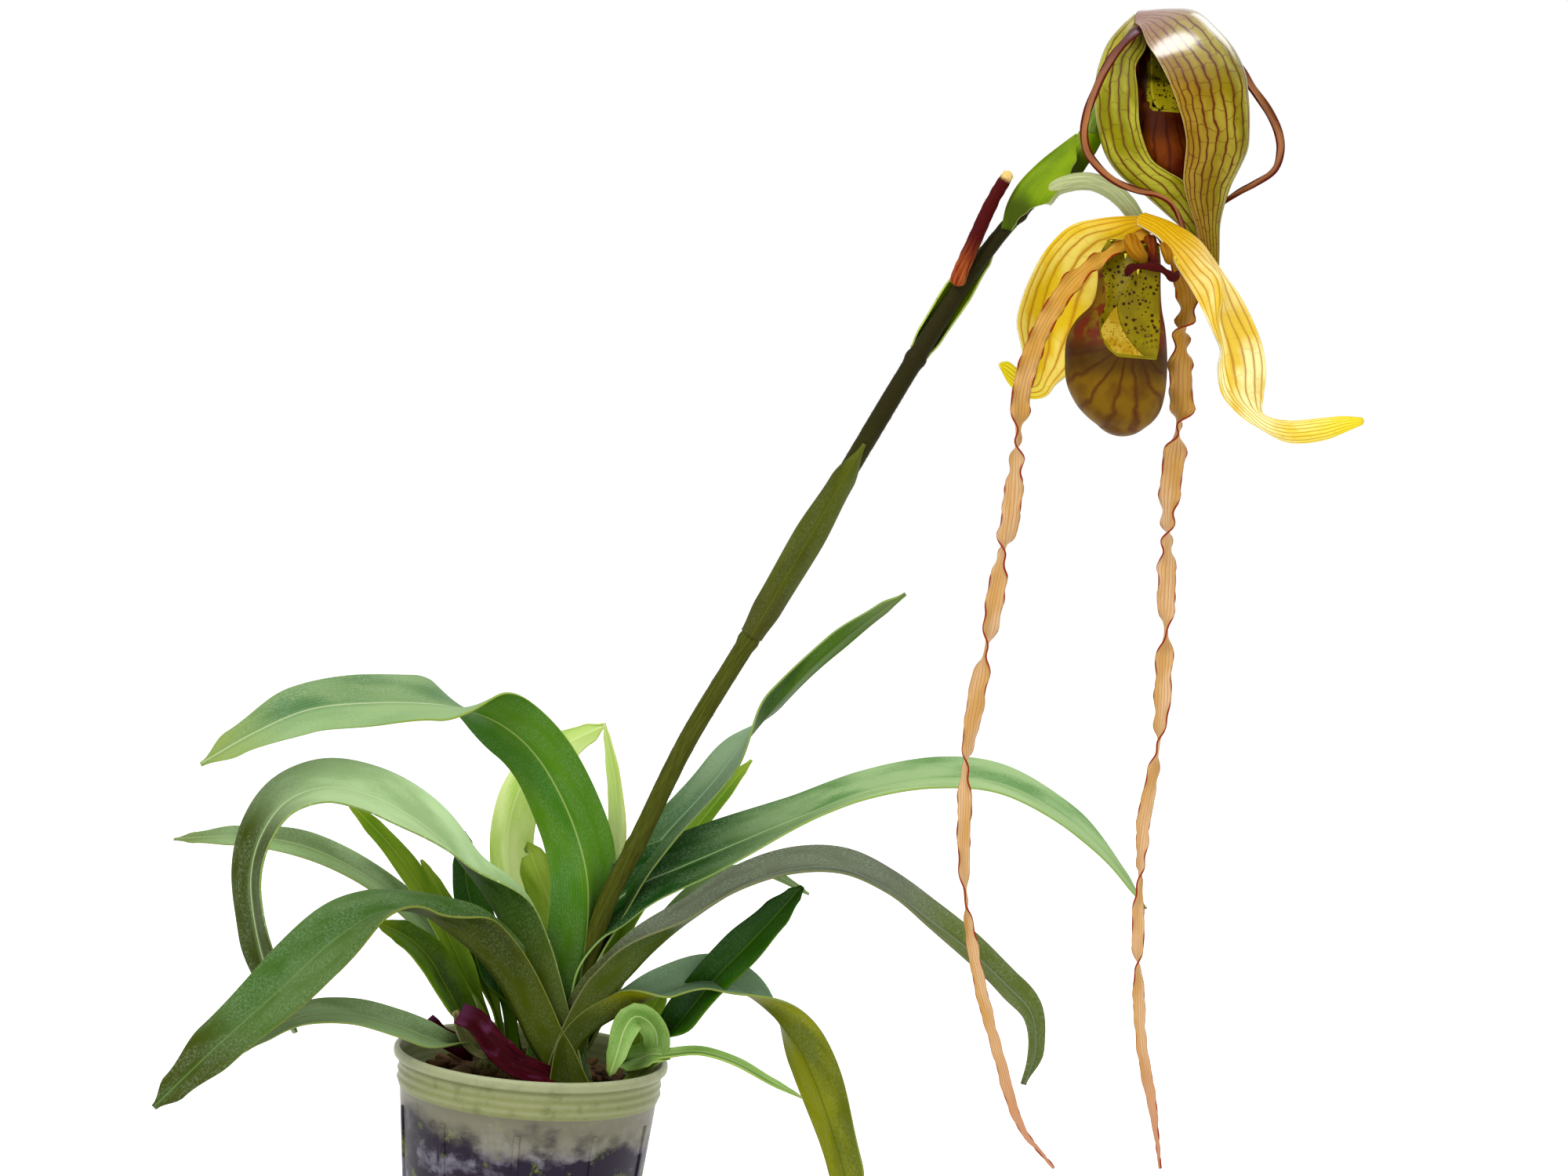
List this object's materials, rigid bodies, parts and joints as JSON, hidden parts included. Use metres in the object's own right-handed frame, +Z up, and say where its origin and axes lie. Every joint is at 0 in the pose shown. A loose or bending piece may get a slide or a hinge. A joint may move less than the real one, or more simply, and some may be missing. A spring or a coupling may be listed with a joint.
{
  "type": "potted phragmipedium orchid",
  "caption": "Slipper orchid in a tapered nursery pot: arching strap leaves, a leaning stem, an open bloom with long twisted petals and an unopened one.",
  "frame": {"origin": "centre of the flat underside of the pot, where it stands", "axes": "+Z up, +X towards the side that the flower stem leans to, -Y towards the front of the plant"},
  "size_m": [0.4623, 0.1501, 0.5412],
  "materials": {
    "pot": "satin translucent plastic, stained by bark and algae",
    "bark": "rough chipped bark",
    "crown": "dull olive root stock",
    "leaf": "waxy green leaf with a pale bloom",
    "leaf_young": "thin yellow-green leaf",
    "sheath_purple": "papery purple-red sheath",
    "sheath_green": "papery yellow-green sheath",
    "stem": "dark olive-brown stem with short hairs",
    "bract": "smooth bright green bract",
    "stub": "dry dark red flower stalk",
    "ovary": "grey-green downy flower stalk",
    "sepal_gold": "golden yellow sepal with ochre veins",
    "sepal_green": "yellow-green sepal with brown net veins",
    "petal_tan": "tan ribbon petal with red-brown margins",
    "petal_dark": "purple-brown ribbon petal",
    "pouch_ochre": "waxy ochre pouch with brown veins",
    "pouch_maroon": "waxy maroon pouch with a striped toe",
    "column": "velvety dark maroon"
  },
  "bodies": {
    "root": {"pot": "pot", "rhizome": "crown", "bark_medium": "bark", "scape": "stem", "spent_stub": "stub", "scape_sheath_low": "stem", "scape_sheath_high": "bract", "bract_lower": "bract", "bract_upper": "bract", "ovary_lower": "ovary", "column_lower": "column", "pouch_lower": "pouch_ochre", "petal_lower_left": "petal_tan", "petal_lower_right": "petal_tan", "sepal_lower_left": "sepal_gold", "sepal_lower_right": "sepal_gold", "ovary_upper": "ovary", "column_upper": "column", "pouch_upper": "pouch_maroon", "petal_upper_left": "petal_dark", "petal_upper_right": "petal_dark", "sepal_upper_right": "sepal_green", "sepal_upper_left": "sepal_green", "leaf_front_left_low": "leaf", "leaf_front_left_curled": "leaf", "leaf_front_left_high": "leaf", "leaf_front_right_mid": "leaf", "leaf_front_right_low": "leaf", "leaf_front_right_high": "leaf", "leaf_front_right_inner": "leaf", "leaf_right_creased": "leaf", "leaf_right_curled": "leaf_young", "leaf_right_thin": "leaf", "leaf_right_yellow": "leaf_young", "leaf_right_stub": "leaf_young", "leaf_left_narrow": "leaf_young", "leaf_left_long": "leaf", "leaf_left_small": "leaf", "leaf_left_broad": "leaf", "leaf_left_low": "leaf", "leaf_left_inner": "leaf", "leaf_back_arched": "leaf", "leaf_back_yellow": "leaf_young", "leaf_back_upright": "leaf", "leaf_back_pointed": "leaf_young", "leaf_back_thin": "leaf", "sheath_purple_front": "sheath_purple", "sheath_purple_back": "sheath_purple", "sheath_green_small": "sheath_green"}
  },
  "joints": []
}
